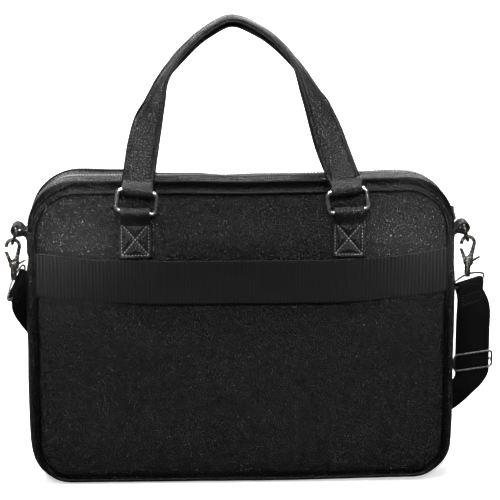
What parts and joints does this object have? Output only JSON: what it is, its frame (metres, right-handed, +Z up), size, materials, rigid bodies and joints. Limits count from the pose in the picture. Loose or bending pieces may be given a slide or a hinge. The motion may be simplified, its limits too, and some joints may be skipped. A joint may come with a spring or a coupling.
{
  "type": "leather briefcase",
  "caption": "Soft leather laptop briefcase with a zipped top, two ring-hung handles, a rear trolley band and a clip-on shoulder strap.",
  "frame": {"origin": "middle of the bag's resting face, on the surface that it stands on", "axes": "+X to the right seen from the rear, -Y out of the rear panel with the trolley band, +Z up"},
  "size_m": [0.4827, 0.1284, 0.4584],
  "materials": {
    "leather": "satin",
    "webbing": "matte",
    "lining": "matte",
    "foam": "matte",
    "board": "matte",
    "zip_metal": "satin",
    "ring_metal": "polished",
    "gunmetal": "antique"
  },
  "bodies": {
    "bag": {"rear_panel": "leather", "front_panel": "leather", "rear_padding": "foam", "front_padding": "foam", "gusset": "leather", "base_board": "board", "rear_piping": "leather", "front_piping": "leather", "lining": "lining", "laptop_divider": "lining", "inner_pocket": "lining", "rear_corner_strips": "leather", "front_corner_strips": "leather", "corner_zips": "zip_metal", "zip_end_tabs": "leather", "trolley_band": "webbing", "rear_left_tab": "leather", "rear_right_tab": "leather", "front_left_tab": "leather", "front_right_tab": "leather", "left_side_tab": "leather", "right_side_tab": "leather", "front_pocket": "leather", "shoulder_strap": "webbing", "strap_end_loops": "webbing"},
    "rear_zip_flap": {"rear_zip_flap": "leather", "rear_zip_teeth": "zip_metal"},
    "front_zip_flap": {"front_zip_flap": "leather", "front_zip_teeth": "zip_metal"},
    "zip_slider": {"zip_slider": "gunmetal"},
    "zip_pull": {"zip_pull": "gunmetal"},
    "laptop_strap": {"laptop_strap": "webbing"},
    "strap_adjuster": {"strap_adjuster_frame": "gunmetal", "strap_adjuster_bar": "gunmetal"},
    "rear_left_ring": {"rear_left_ring": "ring_metal"},
    "rear_right_ring": {"rear_right_ring": "ring_metal"},
    "rear_handle": {"rear_handle": "leather", "rear_handle_loops": "leather"},
    "front_left_ring": {"front_left_ring": "ring_metal"},
    "front_right_ring": {"front_right_ring": "ring_metal"},
    "front_handle": {"front_handle": "leather", "front_handle_loops": "leather"},
    "left_d_ring": {"left_d_ring": "gunmetal"},
    "left_swivel": {"left_swivel": "gunmetal", "left_wire_loop": "gunmetal"},
    "left_hook": {"left_hook": "gunmetal", "left_rivet": "gunmetal"},
    "left_trigger": {"left_trigger": "gunmetal"},
    "right_d_ring": {"right_d_ring": "gunmetal"},
    "right_swivel": {"right_swivel": "gunmetal", "right_wire_loop": "gunmetal"},
    "right_hook": {"right_hook": "gunmetal", "right_rivet": "gunmetal"},
    "right_trigger": {"right_trigger": "gunmetal"}
  },
  "joints": [
    {"name": "rear_left_ring_swing", "type": "hinge", "parent": "bag", "child": "rear_left_ring", "pos_m": [-0.102, -0.0445, 0.271], "axis": [1, 0, 0], "range_deg": [0, 110]},
    {"name": "rear_right_ring_swing", "type": "hinge", "parent": "bag", "child": "rear_right_ring", "pos_m": [0.102, -0.0445, 0.271], "axis": [1, 0, 0], "range_deg": [0, 110]},
    {"name": "rear_handle_fold", "type": "hinge", "parent": "rear_left_ring", "child": "rear_handle", "pos_m": [-0.09922, -0.0445, 0.2908], "axis": [1, 0, 0], "range_deg": [0, 54]},
    {"name": "rear_zip_flap_open", "type": "hinge", "parent": "bag", "child": "rear_zip_flap", "pos_m": [0, -0.033, 0.299], "axis": [1, 0, 0], "range_deg": [0, 65]},
    {"name": "front_left_ring_swing", "type": "hinge", "parent": "bag", "child": "front_left_ring", "pos_m": [-0.102, 0.0445, 0.271], "axis": [-1, 0, 0], "range_deg": [0, 110]},
    {"name": "front_right_ring_swing", "type": "hinge", "parent": "bag", "child": "front_right_ring", "pos_m": [0.102, 0.0445, 0.271], "axis": [-1, 0, 0], "range_deg": [0, 110]},
    {"name": "front_handle_fold", "type": "hinge", "parent": "front_left_ring", "child": "front_handle", "pos_m": [-0.09922, 0.0445, 0.2908], "axis": [-1, 0, 0], "range_deg": [0, 54]},
    {"name": "front_zip_flap_open", "type": "hinge", "parent": "bag", "child": "front_zip_flap", "pos_m": [0, 0.033, 0.299], "axis": [-1, 0, 0], "range_deg": [0, 65]},
    {"name": "zip_slider_travel", "type": "hinge", "parent": "bag", "child": "zip_slider", "pos_m": [0.157, 0, 0.252], "axis": [0, -1, 0], "range_deg": [0, 66]},
    {"name": "zip_pull_swing", "type": "hinge", "parent": "zip_slider", "child": "zip_pull", "pos_m": [0.20665, 0, 0.2653], "axis": [0, -1, 0], "range_deg": [0, 150]},
    {"name": "laptop_strap_lift", "type": "hinge", "parent": "bag", "child": "laptop_strap", "pos_m": [0, -0.0299, 0.263], "axis": [1, 0, 0], "range_deg": [0, 80]},
    {"name": "strap_adjuster_slide", "type": "slide", "parent": "bag", "child": "strap_adjuster", "axis": [-0.0293, -0.2286, 0.9731], "range_m": [0, 0.03]},
    {"name": "left_d_ring_swing", "type": "hinge", "parent": "bag", "child": "left_d_ring", "pos_m": [-0.217, 0, 0.2465], "axis": [0, 1, 0], "range_deg": [-8, 10]},
    {"name": "left_hook_swing", "type": "hinge", "parent": "left_d_ring", "child": "left_swivel", "pos_m": [-0.22213, 0, 0.23241], "axis": [0, 1, 0], "range_deg": [-20, 20]},
    {"name": "left_hook_turn", "type": "hinge", "parent": "left_swivel", "child": "left_hook", "pos_m": [-0.22163, 0, 0.20391], "axis": [0, 0, 1], "range_deg": [-15, 15]},
    {"name": "left_trigger_press", "type": "hinge", "parent": "left_hook", "child": "left_trigger", "pos_m": [-0.22163, 0, 0.21091], "axis": [0, 1, 0], "range_deg": [0, 22], "stiffness_Nm_per_rad": 0.02, "springref_deg": -17.19},
    {"name": "right_d_ring_swing", "type": "hinge", "parent": "bag", "child": "right_d_ring", "pos_m": [0.217, 0, 0.2465], "axis": [0, -1, 0], "range_deg": [-8, 10]},
    {"name": "right_hook_swing", "type": "hinge", "parent": "right_d_ring", "child": "right_swivel", "pos_m": [0.22213, 0, 0.23241], "axis": [0, -1, 0], "range_deg": [-20, 20]},
    {"name": "right_hook_turn", "type": "hinge", "parent": "right_swivel", "child": "right_hook", "pos_m": [0.22263, 0, 0.20391], "axis": [0, 0, 1], "range_deg": [-15, 15]},
    {"name": "right_trigger_press", "type": "hinge", "parent": "right_hook", "child": "right_trigger", "pos_m": [0.22263, 0, 0.21091], "axis": [0, 1, 0], "range_deg": [0, 22], "stiffness_Nm_per_rad": 0.02, "springref_deg": -17.19}
  ],
  "couplings": [
    {"joint": "rear_right_ring_swing", "follows": "rear_left_ring_swing", "ratio": 1},
    {"joint": "front_right_ring_swing", "follows": "front_left_ring_swing", "ratio": 1},
    {"joint": "left_hook_swing", "follows": "left_d_ring_swing", "ratio": -1.3341},
    {"joint": "right_hook_swing", "follows": "right_d_ring_swing", "ratio": -1.3205}
  ]
}
